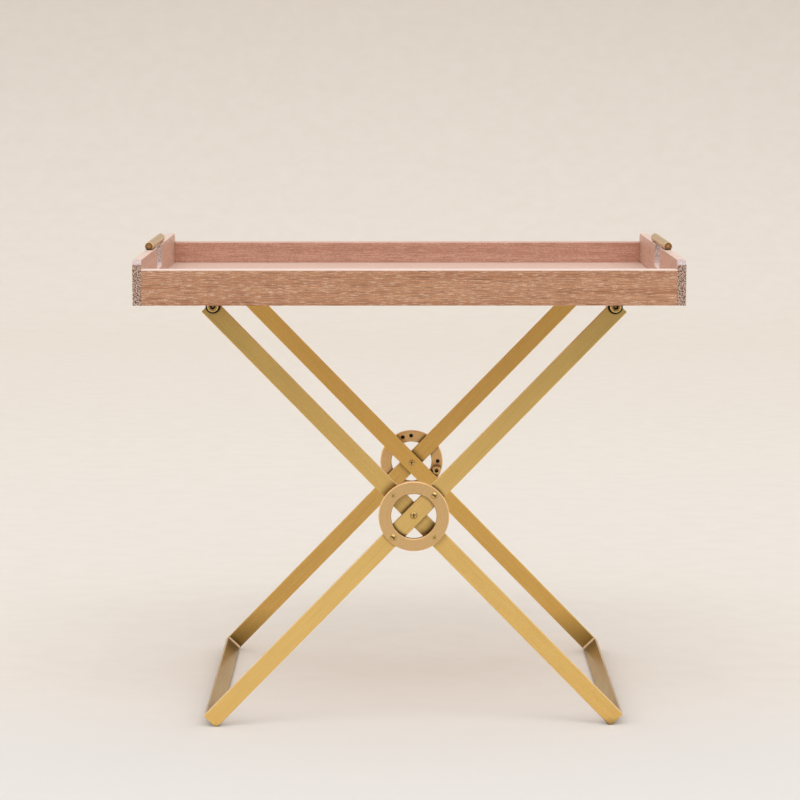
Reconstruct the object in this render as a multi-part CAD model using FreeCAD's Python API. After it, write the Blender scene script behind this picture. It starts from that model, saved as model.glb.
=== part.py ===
import FreeCAD, Part
import os
from math import asin, cos, degrees, radians, sin, sqrt

# Tray table: a limed oak tray that rests on a folding stand of satin brass flat bar.
# Two U-frames of flat bar cross and turn on a pivot, the outer frame carries a ring at each
# crossing, and a rod across the top of each frame carries the tray.
# Millimetres. X runs along the tray's width, the front is at -Y, +Z is up.
# The origin is on the floor, under the middle of the tray.

# Tray boards
tray_width = 750.0
tray_depth = 500.0
end_thickness = 12.0
end_height = 62.0
end_corner_cut = 6.4
end_easing = 1.0
rail_thickness = 12.0
rail_height = 49.4
rail_easing = 2.4
floor_thickness = 9.0
floor_recess = 8.0
groove_depth = 5.0
groove_fit = 0.1

# Corner dowels of the tray, at shares of the height between the floor and the rail's top
dowel_diameter = 6.0
dowel_in_end = 8.0
dowel_in_rail = 22.0
dowel_height_shares = (0.3, 0.72)

# Finger notches and handle bars
notch_length = 66.0
notch_depth = 33.0
notch_corner = 7.0
handle_diameter = 12.0
handle_length = 170.0
handle_end_chamfer = 0.9
handle_seat_depth = 0.6
handle_stud_diameter = 4.0
handle_stud_in_end = 16.0
handle_stud_in_handle = 7.0

# Legs and foot rails of both frames, all from one flat bar
leg_width = 25.0
leg_thickness = 6.0
leg_edge = 0.8
foot_extra = 4.4
leg_angle_degrees = 45.9
leg_gap = 2.0
foot_flat_cut = 1.7
braze_size = 2.6

# Rods across the leg tops, their screws and washers
rod_inset = 87.45
rod_diameter = 20.0
rod_chamfer = 0.6
rod_end_margin = 5.6
rod_edge_margin = 7.9
rod_screw_diameter = 8.0
rod_screw_in_rod = 18.0
rod_screw_head_diameter = 15.5
rod_screw_head_height = 7.5
rod_screw_head_chamfer = 1.8
rod_screw_socket_width = 7.0
rod_screw_socket_depth = 4.5
rod_washer_diameter = 20.5
rod_washer_thickness = 1.5
head_clearance = 8.0

# Rings at the crossings
ring_outer_diameter = 98.0
ring_width = 17.5
ring_thickness = 8.0
ring_edge = 1.3
screw_circle_offset = 0.8
ring_screw_diameter = 5.0
ring_screw_head_diameter = 9.0
ring_screw_head_height = 2.4
ring_screw_in_leg = 4.5
flush_screw_diameter = 4.0
flush_screw_head_diameter = 7.4
flush_screw_head_depth = 2.0
flush_screw_in_glide = 4.5
glide_diameter = 12.0
glide_gap = 0.4
slot_width = 1.8
slot_depth = 1.5
cross_slot_share = 0.26
head_rim = 0.5

# Stop studs and the spare holes for other opening angles
stop_diameter = 13.0
stop_chamfer = 0.8
stop_overlap = 4.0
stop_gap = 0.3
stop_socket_width = 6.0
stop_socket_depth = 4.0
spare_hole_diameter = 6.2
spare_hole_depth = 5.0
stop_thread_end_gap = 0.5
spare_hole_angle_degrees = 45.0

# Pivots
pivot_post_diameter = 7.0
pivot_head_diameter = 9.6
pivot_head_height = 2.4
pivot_screw_diameter = 4.0
pivot_screw_length = 8.0
pivot_washer_diameter = 20.0
pivot_end_play = 0.1
running_clearance = 0.05

# What the tray rests on and is located by
pad_thickness = 2.0
pad_end_margin = 12.0
seat_gap = 0.3
chock_width = 14.0
chock_height = 11.0
chock_play = 7.0
chock_contact_gap = 0.4
chock_screw_diameter = 4.0
chock_screw_head_diameter = 8.0
chock_screw_head_depth = 2.4
chock_screw_in_floor = 6.0
chock_screw_end_margin = 45.0

# Clearance of a fixed pin or screw in its hole, depth past its tip, and overrun of every cut
hole_clearance = 0.05
tip_clearance = 0.5
cut_overrun = 1.0

# Places that follow from the sizes
lean_degrees = 90.0 - leg_angle_degrees
crossing_degrees = 2.0 * lean_degrees
leg_sin = sin(radians(leg_angle_degrees))
leg_cos = cos(radians(leg_angle_degrees))
inside_width = tray_width - 2 * end_thickness
inside_depth = tray_depth - 2 * rail_thickness
rod_x = inside_width / 2 - rod_inset
rod_across = leg_width / 2 - rod_edge_margin
rod_along = (rod_x + rod_across * leg_sin) / leg_cos
leg_above_pivot = rod_along + rod_end_margin
leg_below_pivot = leg_above_pivot + foot_extra
pivot_height = leg_below_pivot * leg_sin + leg_width / 2 * leg_cos - foot_flat_cut
stand_shift = chock_play - chock_contact_gap
rod_z = pivot_height + rod_along * leg_sin + rod_across * leg_cos
floor_underside = rod_z + rod_diameter / 2 + seat_gap + pad_thickness
tray_bottom = floor_underside - floor_recess
floor_top = floor_underside + floor_thickness
end_top = tray_bottom + end_height
head_stack = rod_washer_thickness + rod_screw_head_height
outer_face = inside_depth / 2 - head_clearance - head_stack
inner_face = outer_face - leg_thickness - leg_gap
handle_z = end_top + handle_diameter / 2 - handle_seat_depth
handle_x = tray_width / 2 - end_thickness / 2
handle_stud_y = (notch_length + handle_length) / 4
chock_inner_x = rod_x + rod_diameter / 2 + chock_play
rod_pad_length = 2 * (inner_face - leg_thickness - pad_end_margin)
screw_circle = (ring_outer_diameter - ring_width) / 2 + screw_circle_offset
stop_reach = leg_thickness + leg_gap + stop_overlap
stop_span = leg_width / 2 + stop_diameter / 2 + stop_gap
stop_degrees = 180.0 - crossing_degrees - degrees(asin(stop_span / screw_circle))

X_AXIS = FreeCAD.Vector(1, 0, 0)
Y_AXIS = FreeCAD.Vector(0, 1, 0)
Z_AXIS = FreeCAD.Vector(0, 0, 1)
ORIGIN = FreeCAD.Vector(0, 0, 0)


# Shape helpers

def block(x_range, y_range, z_range):
    """A box between two limits on each axis."""
    (x0, x1), (y0, y1), (z0, z1) = x_range, y_range, z_range
    return Part.makeBox(x1 - x0, y1 - y0, z1 - z0, FreeCAD.Vector(x0, y0, z0))


def prism(points, sweep):
    """A closed outline of points, swept along a vector."""
    outline = Part.makePolygon(points + points[:1])
    return Part.Face(outline).extrude(sweep)


def turned(profile):
    """A closed outline of (radius, height) points, turned about Z."""
    points = [FreeCAD.Vector(radius, 0, height) for radius, height in profile]
    return Part.Face(Part.makePolygon(points + points[:1])).revolve(ORIGIN, Z_AXIS, 360)


def pin(diameter, low, high):
    """A plain cylinder on Z between two heights."""
    return Part.makeCylinder(diameter / 2, high - low, FreeCAD.Vector(0, 0, low), Z_AXIS)


def dome(diameter, height):
    """A screw head on z = 0: a short rim under a spherical cap, with a slot across it."""
    radius = diameter / 2
    centre = (height**2 - radius**2 - head_rim**2) / (2 * (height - head_rim))
    middle = FreeCAD.Vector(radius / 2, 0, centre + sqrt((height - centre)**2 - (radius / 2)**2))
    foot = FreeCAD.Vector(radius, 0, 0)
    rim = FreeCAD.Vector(radius, 0, head_rim)
    crown = FreeCAD.Vector(0, 0, height)
    edges = [Part.makeLine(ORIGIN, foot), Part.makeLine(foot, rim),
             Part.Arc(rim, middle, crown).toShape(), Part.makeLine(crown, ORIGIN)]
    head = Part.Face(Part.Wire(edges)).revolve(ORIGIN, Z_AXIS, 360)
    return head.cut(slot(diameter, height))


def slot(diameter, top):
    """The cutter for a screwdriver slot that runs right across a head."""
    half = slot_width / 2
    return block((-diameter, diameter), (-half, half), (top - slot_depth, top + cut_overrun))


def hexagon(across_flats, low, high):
    """A hexagonal prism on Z, for a socket."""
    corner = across_flats / sqrt(3)
    turns = [radians(60 * k) for k in range(6)]
    points = [FreeCAD.Vector(corner * cos(turn), corner * sin(turn), low) for turn in turns]
    return prism(points, FreeCAD.Vector(0, 0, high - low))


def face_front(shape, x, y, z):
    """Turns a piece built up +Z so that it points to the front, with its base at y."""
    shape = shape.copy()
    shape.rotate(ORIGIN, X_AXIS, 90)
    shape.translate(FreeCAD.Vector(x, y, z))
    return shape


def face_inward(shape, x, y, z):
    """Turns a piece built up +Z so that it points to the back, with its base at y."""
    shape = shape.copy()
    shape.rotate(ORIGIN, X_AXIS, -90)
    shape.translate(FreeCAD.Vector(x, y, z))
    return shape


def front_to_back(shape):
    """The same piece at the other side of the stand or tray."""
    return shape.mirror(ORIGIN, Y_AXIS)


def left_to_right(shape):
    """The same piece at the other end of the tray."""
    return shape.mirror(ORIGIN, X_AXIS)


def drilled(shape, cutters):
    """A shape with holes or slots taken out."""
    return shape.cut(Part.makeCompound(cutters))


def lean_over(shape, lean):
    """Leans an upright frame's piece about its pivot and stands it on the floor."""
    shape = shape.copy()
    shape.rotate(ORIGIN, Y_AXIS, lean * lean_degrees)
    shape.translate(FreeCAD.Vector(stand_shift, 0, pivot_height))
    below_floor = block((-tray_width, tray_width), (-tray_depth, tray_depth), (-leg_below_pivot, 0))
    return shape.cut(below_floor)


def on_circle(angle_degrees):
    """A place on the ring's screw circle, by its angle to the left of the outer leg's upper half."""
    angle = radians(angle_degrees)
    return -screw_circle * sin(angle), screw_circle * cos(angle)


# Tray

def eased_rail():
    """The front rail: grooved for the floor, with both top edges rounded and dowel holes in its ends."""
    outer = -tray_depth / 2
    inner = outer + rail_thickness
    low = tray_bottom
    high = tray_bottom + rail_height
    rail = block((-inside_width / 2, inside_width / 2), (outer, inner), (low, high))
    top_edges = [edge for edge in rail.Edges
                 if edge.BoundBox.ZMin > high - rail_easing and edge.BoundBox.XLength > rail_thickness]
    rail = rail.makeFillet(rail_easing, top_edges)
    groove = block((-inside_width, inside_width), (inner - groove_depth, inner + cut_overrun),
                   (floor_underside - groove_fit, floor_top + groove_fit))
    return drilled(rail, [groove] + corner_dowels(hole_clearance, tip_clearance))


def corner_dowels(clearance, past_tip):
    """The eight corner dowels, or, with clearance, their holes."""
    dowels = []
    start_x = inside_width / 2 - dowel_in_rail - past_tip
    start_y = -tray_depth / 2 + rail_thickness / 2
    length = dowel_in_end + dowel_in_rail + 2 * past_tip
    for share in dowel_height_shares:
        height = floor_top + share * (tray_bottom + rail_height - floor_top)
        start = FreeCAD.Vector(start_x, start_y, height)
        front_right = Part.makeCylinder(dowel_diameter / 2 + clearance, length, start, X_AXIS)
        front = [front_right, left_to_right(front_right)]
        dowels += front + [front_to_back(dowel) for dowel in front]
    return dowels


def end_panel():
    """The left end panel: cut corners, finger notch, floor groove, handle seat and holes."""
    outer = -tray_width / 2
    inner = outer + end_thickness
    reach = tray_depth / 2
    cut = end_corner_cut
    outline = [(-reach, tray_bottom), (reach, tray_bottom), (reach, end_top - cut),
               (reach - cut, end_top), (-reach + cut, end_top), (-reach, end_top - cut)]
    points = [FreeCAD.Vector(outer, y, z) for y, z in outline]
    panel = prism(points, FreeCAD.Vector(end_thickness, 0, 0))
    upper_edges = [edge for edge in panel.Edges
                   if edge.CenterOfMass.z > end_top - cut and edge.BoundBox.XLength < end_easing]
    panel = panel.makeFillet(end_easing, upper_edges)

    notch = block((outer - cut_overrun, inner + cut_overrun), (-notch_length / 2, notch_length / 2),
                  (end_top - notch_depth, end_top + cut_overrun))
    bottom_edges = [edge for edge in notch.Edges
                    if edge.BoundBox.ZMax < end_top and edge.BoundBox.XLength > end_thickness]
    notch = notch.makeFillet(notch_corner, bottom_edges)

    groove_end = inside_depth / 2 + groove_depth + groove_fit
    groove = block((inner - groove_depth, inner + cut_overrun), (-groove_end, groove_end),
                   (floor_underside - groove_fit, floor_top + groove_fit))
    seat_start = FreeCAD.Vector(-handle_x, -handle_length / 2, handle_z)
    seat = Part.makeCylinder(handle_diameter / 2 + hole_clearance, handle_length, seat_start, Y_AXIS)
    holes = handle_studs(hole_clearance, tip_clearance) + corner_dowels(hole_clearance, tip_clearance)
    return drilled(panel, [notch, groove, seat] + holes)


def handle_bar():
    """The left handle: a turned rod along the top of the end panel, across its notch."""
    radius = handle_diameter / 2
    half = handle_length / 2
    rim = radius - handle_end_chamfer
    shoulder = half - handle_end_chamfer
    bar = turned([(0, -half), (rim, -half), (radius, -shoulder), (radius, shoulder), (rim, half), (0, half)])
    bar = face_front(bar, -handle_x, 0, handle_z)
    return drilled(bar, handle_studs(hole_clearance, tip_clearance))


def handle_studs(clearance, past_tip):
    """The two threaded studs that hold the left handle, or, with clearance, their holes."""
    foot = handle_z - handle_diameter / 2
    low = foot - handle_stud_in_end - past_tip
    high = foot + handle_stud_in_handle + past_tip
    studs = []
    for y in (-handle_stud_y, handle_stud_y):
        stud = pin(handle_stud_diameter + 2 * clearance, low, high)
        stud.translate(FreeCAD.Vector(-handle_x, y, 0))
        studs.append(stud)
    return studs


def tray_floor():
    """The floor panel, let into grooves on all four sides, with pilot holes for the chock screws."""
    half_x = inside_width / 2 + groove_depth - groove_fit
    half_y = inside_depth / 2 + groove_depth - groove_fit
    panel = block((-half_x, half_x), (-half_y, half_y), (floor_underside, floor_top))
    return drilled(panel, chock_screws(hole_clearance, tip_clearance))


def rod_pad():
    """The left pad, glued under the floor where the rod bears."""
    left = -chock_inner_x
    right = -rod_x + rod_diameter / 2 + chock_play
    half = rod_pad_length / 2
    return block((left, right), (-half, half), (floor_underside - pad_thickness, floor_underside))


def chock():
    """The left chock, which keeps the tray from sliding off along its width."""
    half = rod_pad_length / 2
    strip = block((-chock_inner_x - chock_width, -chock_inner_x), (-half, half),
                  (floor_underside - chock_height, floor_underside))
    return drilled(strip, chock_screws(hole_clearance, tip_clearance))


def chock_screws(clearance, past_tip):
    """Three countersunk screws up through each chock into the floor, or, with clearance, their holes."""
    shank = chock_screw_diameter / 2 + clearance
    head = chock_screw_head_diameter / 2 + clearance
    top = chock_height + chock_screw_in_floor + past_tip
    screw = turned([(0, 0), (head, 0), (shank, chock_screw_head_depth), (shank, top), (0, top)])
    centre_x = chock_inner_x + chock_width / 2
    spread = rod_pad_length / 2 - chock_screw_end_margin
    screws = []
    for x in (-centre_x, centre_x):
        for y in (-spread, 0, spread):
            placed = screw.copy()
            placed.translate(FreeCAD.Vector(x, y, floor_underside - chock_height))
            screws.append(placed)
    return screws


# Frames of the stand, built upright about the pivot and then leaned over

def bar_section(across, through):
    """The flat bar's section: a rectangle with small chamfers, as (across, through) points."""
    a = across / 2
    t = through / 2
    e = leg_edge
    return [(-a + e, -t), (a - e, -t), (a, -t + e), (a, t - e),
            (a - e, t), (-a + e, t), (-a, t - e), (-a, -t + e)]


def front_leg(face, lean):
    """A front leg whose outer face is at -face: mitred at the foot and bored for its pivot and rod screw."""
    middle = -face + leg_thickness / 2
    low = -leg_below_pivot
    points = [FreeCAD.Vector(x, middle + y, low) for x, y in bar_section(leg_width, leg_thickness)]
    leg = prism(points, FreeCAD.Vector(0, 0, leg_below_pivot + leg_above_pivot))
    inner = -face + leg_thickness
    wedge = [FreeCAD.Vector(-leg_width, y, z) for y, z in
             ((-face, low), (inner, low), (inner, low + leg_thickness))]
    mitre = prism(wedge, FreeCAD.Vector(2 * leg_width, 0, 0))
    pivot_bore = pin(pivot_post_diameter + 2 * running_clearance, -cut_overrun, leg_thickness + cut_overrun)
    screw_bore = pin(rod_screw_diameter + 2 * hole_clearance, -cut_overrun, leg_thickness + cut_overrun)
    return drilled(leg, [mitre, face_front(pivot_bore, 0, inner, 0),
                         face_front(screw_bore, -lean * rod_across, inner, rod_along)])


def foot_rail(face):
    """The rail across the feet of one frame: the same flat bar, mitred to both legs."""
    low = -leg_below_pivot
    middle = low + leg_thickness / 2
    points = [FreeCAD.Vector(x, -face, middle + z) for x, z in bar_section(leg_width, leg_thickness)]
    rail = prism(points, FreeCAD.Vector(0, 2 * face, 0))
    wedge = [FreeCAD.Vector(-leg_width, y, z) for y, z in
             ((-face, low), (-face + leg_thickness, low + leg_thickness), (-face, low + leg_thickness))]
    front_mitre = prism(wedge, FreeCAD.Vector(2 * leg_width, 0, 0))
    return drilled(rail, [front_mitre, front_to_back(front_mitre)])


def brazed_corner(face):
    """The small hollow fillet of braze inside the front corner of foot rail and leg."""
    y = -face + leg_thickness
    z = -leg_below_pivot + leg_thickness
    half = leg_width / 2 - leg_edge
    waist = braze_size * (1 - sqrt(2) / 2)
    corner = FreeCAD.Vector(-half, y, z)
    along = FreeCAD.Vector(-half, y + braze_size, z)
    up = FreeCAD.Vector(-half, y, z + braze_size)
    edges = [Part.makeLine(corner, along),
             Part.Arc(along, FreeCAD.Vector(-half, y + waist, z + waist), up).toShape(),
             Part.makeLine(up, corner)]
    return Part.Face(Part.Wire(edges)).extrude(FreeCAD.Vector(2 * half, 0, 0))


def top_rod(face, lean):
    """The rod between a frame's leg tops, drilled at both ends for its screws."""
    radius = rod_diameter / 2
    half = face - leg_thickness
    rim = radius - rod_chamfer
    rod = turned([(0, -half), (rim, -half), (radius, -half + rod_chamfer), (radius, half - rod_chamfer),
                  (rim, half), (0, half)])
    depth = rod_screw_in_rod + tip_clearance
    hole = pin(rod_screw_diameter + 2 * hole_clearance, half - depth, half + cut_overrun)
    rod = drilled(rod, [hole, hole.mirror(ORIGIN, Z_AXIS)])
    return face_front(rod, -lean * rod_across, 0, rod_along)


def rod_screw(face, lean):
    """A socket head screw through the front leg into the rod."""
    radius = rod_screw_head_diameter / 2
    rim = radius - rod_screw_head_chamfer
    shank = rod_screw_diameter / 2
    tip = -leg_thickness - rod_screw_in_rod
    seat = rod_washer_thickness
    shoulder = head_stack - rod_screw_head_chamfer
    screw = turned([(0, tip), (shank, tip), (shank, seat), (radius, seat), (radius, shoulder),
                    (rim, head_stack), (0, head_stack)])
    socket = hexagon(rod_screw_socket_width, head_stack - rod_screw_socket_depth, head_stack + cut_overrun)
    return face_front(screw.cut(socket), -lean * rod_across, -face, rod_along)


def rod_washer(face, lean):
    """The black washer under a rod screw's head."""
    washer = pin(rod_washer_diameter, 0, rod_washer_thickness)
    hole = pin(rod_screw_diameter + 2 * hole_clearance, -cut_overrun, rod_washer_thickness + cut_overrun)
    return face_front(washer.cut(hole), -lean * rod_across, -face, rod_along)


def frame_pieces(name, face, lean):
    """All that is fixed in one U-frame, under its names."""
    leg = front_leg(face, lean)
    if name == "outer":
        leg = drilled(leg, [ring_screw_hole(place) for place in ring_screw_places])
    pairs = {"brazed_corners": brazed_corner(face), "rod_screws": rod_screw(face, lean),
             "rod_washers": rod_washer(face, lean)}
    pieces = {"front_leg": leg, "back_leg": front_to_back(leg), "foot_rail": foot_rail(face),
              "top_rod": top_rod(face, lean)}
    for pair, front in pairs.items():
        pieces[pair] = Part.makeCompound([front, front_to_back(front)])
    return {f"{name}_{piece}": lean_over(shape, lean) for piece, shape in pieces.items()}


# Rings, stops and pivots, all carried by the outer frame

ring_screw_places = [on_circle(0), on_circle(180)]
flush_screw_places = [on_circle(crossing_degrees), on_circle(crossing_degrees + 180)]
spare_hole_places = [on_circle(stop_degrees), on_circle(spare_hole_angle_degrees),
                     on_circle(-spare_hole_angle_degrees)]
stop_place = on_circle(-stop_degrees)


def at_place(shape, place):
    """Puts a piece of the front ring on the screw circle, its base on the outer leg's face."""
    x, z = place
    return face_front(shape, x, -outer_face, z)


def ring_screw_hole(place):
    """The hole for a ring screw, through the ring and blind in the leg."""
    low = -ring_screw_in_leg - tip_clearance
    hole = pin(ring_screw_diameter + 2 * hole_clearance, low, ring_thickness + cut_overrun)
    return at_place(hole, place)


def ring():
    """The front ring, with screw holes through it and blind stop holes in its inner face."""
    outer = ring_outer_diameter / 2
    inner = outer - ring_width
    e = ring_edge
    top = ring_thickness
    plate = turned([(inner + e, 0), (outer - e, 0), (outer, e), (outer, top - e), (outer - e, top),
                    (inner + e, top), (inner, top - e), (inner, e)])
    plate = face_front(plate, 0, -outer_face, 0)
    blind = pin(spare_hole_diameter, -cut_overrun, spare_hole_depth)
    holes = [ring_screw_hole(place) for place in ring_screw_places]
    holes += [at_place(flush_screw(hole_clearance), place) for place in flush_screw_places]
    holes += [at_place(blind, place) for place in spare_hole_places + [stop_place]]
    return drilled(plate, holes)


def ring_screw():
    """A domed slotted screw through the ring into the outer leg."""
    tip = -ring_screw_in_leg
    head = dome(ring_screw_head_diameter, ring_screw_head_height)
    head.translate(FreeCAD.Vector(0, 0, ring_thickness))
    return head.fuse(pin(ring_screw_diameter, tip, ring_thickness))


def flush_screw(clearance):
    """A countersunk screw, flush with the ring, that holds a glide; with clearance, its hole."""
    shank = flush_screw_diameter / 2 + clearance
    head = flush_screw_head_diameter / 2 + clearance
    top = ring_thickness
    seat = top - flush_screw_head_depth
    low = -flush_screw_in_glide
    if clearance:
        return turned([(0, low), (shank, low), (shank, seat), (head, top), (head, top + cut_overrun),
                       (0, top + cut_overrun)])
    screw = turned([(0, low), (shank, low), (shank, seat), (head, top), (0, top)])
    half = flush_screw_head_diameter * cross_slot_share
    arm = block((-half, half), (-slot_width / 2, slot_width / 2), (top - slot_depth, top + cut_overrun))
    cross = arm.copy()
    cross.rotate(ORIGIN, Z_AXIS, 90)
    return screw.cut(arm.fuse(cross))


def glide():
    """A plastic button between the ring and the inner leg, which keeps the frames parallel."""
    low = -(leg_thickness + leg_gap - glide_gap)
    button = pin(glide_diameter, low, 0)
    hole = pin(flush_screw_diameter + 2 * hole_clearance, -flush_screw_in_glide - tip_clearance, cut_overrun)
    return button.cut(hole)


def stop_stud():
    """A turned stud in the ring's inner face; the open inner leg leans on its side."""
    radius = stop_diameter / 2
    rim = radius - stop_chamfer
    thread = spare_hole_diameter / 2 - hole_clearance
    tip = spare_hole_depth - stop_thread_end_gap
    low = -stop_reach
    stud = turned([(0, low), (rim, low), (radius, low + stop_chamfer), (radius, 0), (thread, 0),
                   (thread, tip), (0, tip)])
    socket = hexagon(stop_socket_width, low - cut_overrun, low + stop_socket_depth)
    return stud.cut(socket)


def pivot_post():
    """The pivot: a hollow post through both legs, and outside a domed head with an upright slot."""
    low = -(2 * leg_thickness + leg_gap + pivot_end_play)
    head = dome(pivot_head_diameter, pivot_head_height)
    head.rotate(ORIGIN, Z_AXIS, 90 + lean_degrees)
    post = head.fuse(pin(pivot_post_diameter, low, 0))
    depth = pivot_screw_length + tip_clearance
    hole = pin(pivot_screw_diameter + 2 * hole_clearance, low - cut_overrun, low + depth)
    return face_front(post.cut(hole), 0, -outer_face, 0)


def pivot_screw():
    """The domed slotted screw that closes the pivot post from inside the stand."""
    end = 2 * leg_thickness + leg_gap + pivot_end_play
    head = dome(pivot_head_diameter, pivot_head_height)
    head.rotate(ORIGIN, Z_AXIS, -90 - lean_degrees)
    screw = head.fuse(pin(pivot_screw_diameter, -pivot_screw_length, 0))
    return face_inward(screw, 0, -outer_face + end, 0)


def pivot_washer():
    """The washer between the crossing legs."""
    washer = pin(pivot_washer_diameter, -(leg_thickness + leg_gap - pivot_end_play), -leg_thickness)
    hole = pin(pivot_post_diameter + 2 * running_clearance, -leg_thickness - leg_gap, cut_overrun)
    return face_front(washer.cut(hole), 0, -outer_face, 0)


def crossing_pieces():
    """The rings, their screws, glides, stops and pivots at both crossings, under their names."""
    front = {
        "ring": ring(),
        "ring_screws": Part.makeCompound([at_place(ring_screw(), place) for place in ring_screw_places]),
        "flush_screws": Part.makeCompound([at_place(flush_screw(0), place) for place in flush_screw_places]),
        "glides": Part.makeCompound([at_place(glide(), place) for place in flush_screw_places]),
        "stop_stud": at_place(stop_stud(), stop_place),
        "pivot_post": pivot_post(),
        "pivot_screw": pivot_screw(),
    }
    pieces = {}
    for piece, shape in front.items():
        pieces[f"front_{piece}"] = shape
        pieces[f"back_{piece}"] = front_to_back(shape)
    pieces["pivot_washers"] = Part.makeCompound([pivot_washer(), front_to_back(pivot_washer())])
    return {piece: lean_over(shape, 1) for piece, shape in pieces.items()}


# Assembly

def tray_pieces():
    """Every piece of the tray, under its name."""
    front_rail = eased_rail()
    left_studs = Part.makeCompound(handle_studs(0, 0))
    pieces = {
        "tray_front_rail": front_rail,
        "tray_back_rail": front_to_back(front_rail),
        "tray_floor": tray_floor(),
        "corner_dowels": Part.makeCompound(corner_dowels(0, 0)),
        "chock_screws": Part.makeCompound(chock_screws(0, 0)),
    }
    left = {"end": end_panel(), "handle": handle_bar(), "handle_studs": left_studs, "chock": chock(),
            "rod_pad": rod_pad()}
    for piece, shape in left.items():
        pieces[f"left_{piece}"] = shape
        pieces[f"right_{piece}"] = left_to_right(shape)
    return pieces


nodes = {}
nodes.update(tray_pieces())
nodes.update(frame_pieces("outer", outer_face, 1))
nodes.update(frame_pieces("inner", inner_face, -1))
nodes.update(crossing_pieces())

os.makedirs("parts", exist_ok=True)
for node, shape in nodes.items():
    shape.exportStep(f"parts/{node}.step")
    print(node, len(shape.Solids), shape.isValid(), round(shape.Volume))
print("pivot at", stand_shift, 0, round(pivot_height, 3), "stand faces", outer_face, inner_face)
print("tray bottom", round(tray_bottom, 3), "floor top", round(floor_top, 3), "handle", round(handle_z, 3))
print("rods at", round(rod_x, 3), round(rod_z, 3), "stop angle", round(stop_degrees, 2))
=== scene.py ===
# %% [markdown]
# A folding tray table: an oak tray on a crossed stand of brass flat bar.
# The measured solids come in as a fixed frame, already at their real size and place, in metres.
# This lesson dresses them: each surface gets the finish that the real material has. Then the table is
# set on a pale studio floor, lit softly from above and seen from a little over its top.

# %% Bring in the frame
from math import cos, pi, radians, sin

import bpy
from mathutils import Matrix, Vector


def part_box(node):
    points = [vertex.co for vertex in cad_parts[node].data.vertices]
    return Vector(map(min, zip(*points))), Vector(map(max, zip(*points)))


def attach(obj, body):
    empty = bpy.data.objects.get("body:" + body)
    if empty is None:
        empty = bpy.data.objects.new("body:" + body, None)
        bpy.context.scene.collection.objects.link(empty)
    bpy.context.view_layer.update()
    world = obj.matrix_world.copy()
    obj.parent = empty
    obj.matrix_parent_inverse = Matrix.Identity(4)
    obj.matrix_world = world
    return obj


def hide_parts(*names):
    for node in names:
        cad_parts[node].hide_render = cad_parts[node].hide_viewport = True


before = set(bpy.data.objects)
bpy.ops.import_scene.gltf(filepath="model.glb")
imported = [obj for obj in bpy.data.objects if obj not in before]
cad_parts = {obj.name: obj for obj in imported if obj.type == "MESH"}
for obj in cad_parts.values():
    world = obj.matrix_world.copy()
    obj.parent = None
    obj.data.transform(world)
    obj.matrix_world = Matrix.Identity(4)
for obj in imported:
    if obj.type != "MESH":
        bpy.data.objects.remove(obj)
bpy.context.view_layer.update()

MM = 0.001
print("pieces in the frame:", len(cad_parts))

# %% [markdown]
# The camera stands about three metres in front of the table and a little above it, with a long lens.
# A short lens close by would also fill the picture, but it would make the legs run together towards the
# back. A long lens far away keeps them nearly parallel, as in a catalogue picture. The view is square, so
# the lens is worked out from the focal length in pixels on a picture 800 pixels wide.

# %% Set up the camera
PICTURE_PIXELS = 800
FOCAL_PIXELS = 2347
SENSOR_MM = 36
CAMERA_PLACE = (-0.0198, -3.4179, 0.9278)
LOOKS_DOWN = 8.26
TURNS_RIGHT = 0.13
SEES_AS_FAR_AS = 60
camera_data = bpy.data.cameras.new("studio_camera")
camera_data.sensor_width = SENSOR_MM
camera_data.lens = SENSOR_MM * FOCAL_PIXELS / PICTURE_PIXELS
camera_data.clip_end = SEES_AS_FAR_AS
camera = bpy.data.objects.new("studio_camera", camera_data)
bpy.context.scene.collection.objects.link(camera)
camera.location = CAMERA_PLACE
camera.rotation_euler = (radians(90 - LOOKS_DOWN), 0, radians(-TURNS_RIGHT))
bpy.context.scene.camera = camera
print("lens in mm:", round(camera_data.lens, 1))

# %% [markdown]
# Colours are easiest to pick as the hex codes that painters and web pages use, but a renderer counts
# light in linear steps. One function turns a code into linear red, green and blue.
# A second function adds one node to a material, sets its options and wires its inputs, so that each
# finish below reads as a list of what it is made of. A third starts a finish, and a fourth gives it to
# pieces of the frame. A Mix node has a set of sockets for each kind of data, all with the same names, so
# its sockets are picked by number, and the numbers get names here.

# %% Helpers for colour, nodes and finishes
SHARE = 0
UNDER = 6
OVER = 7
BLEND = 2


def linear(code):
    """A hex colour such as D9A684 as linear red, green, blue and full alpha, by the sRGB curve."""
    channels = []
    for start in (0, 2, 4):
        value = int(code[start:start + 2], 16) / 255
        if value <= 0.04045:
            channels.append(value / 12.92)
        else:
            channels.append(((value + 0.055) / 1.055) ** 2.4)
    return (*channels, 1.0)


def put(tree, kind, wires=None, stops=(), **options):
    """Adds one node, sets its options, fills or links its inputs, and sets a ramp's stops."""
    made = tree.nodes.new("ShaderNode" + kind)
    for option, value in options.items():
        setattr(made, option, value)
    for socket, value in (wires or {}).items():
        if isinstance(value, bpy.types.NodeSocket):
            tree.links.new(value, made.inputs[socket])
        else:
            made.inputs[socket].default_value = value
    for number, (place, code) in enumerate(stops):
        ramp = made.color_ramp.elements
        stop = ramp[number] if number < len(ramp) else ramp.new(place)
        stop.position = place
        stop.color = linear(code)
    return made.outputs


def new_finish(name):
    """A material with its node tree and the inputs of its main shader, ready to be wired."""
    finish = bpy.data.materials.new(name)
    finish.use_nodes = True
    return finish, finish.node_tree, finish.node_tree.nodes["Principled BSDF"].inputs


def dress(finish, *nodes):
    """Gives a finish to nodes of the frame, in every material slot that they have."""
    for node in nodes:
        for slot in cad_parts[node].material_slots:
            slot.material = finish
    print(finish.name, "on", ", ".join(nodes))


print("half grey is", round(linear("808080")[0], 3), "in linear light")

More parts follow.
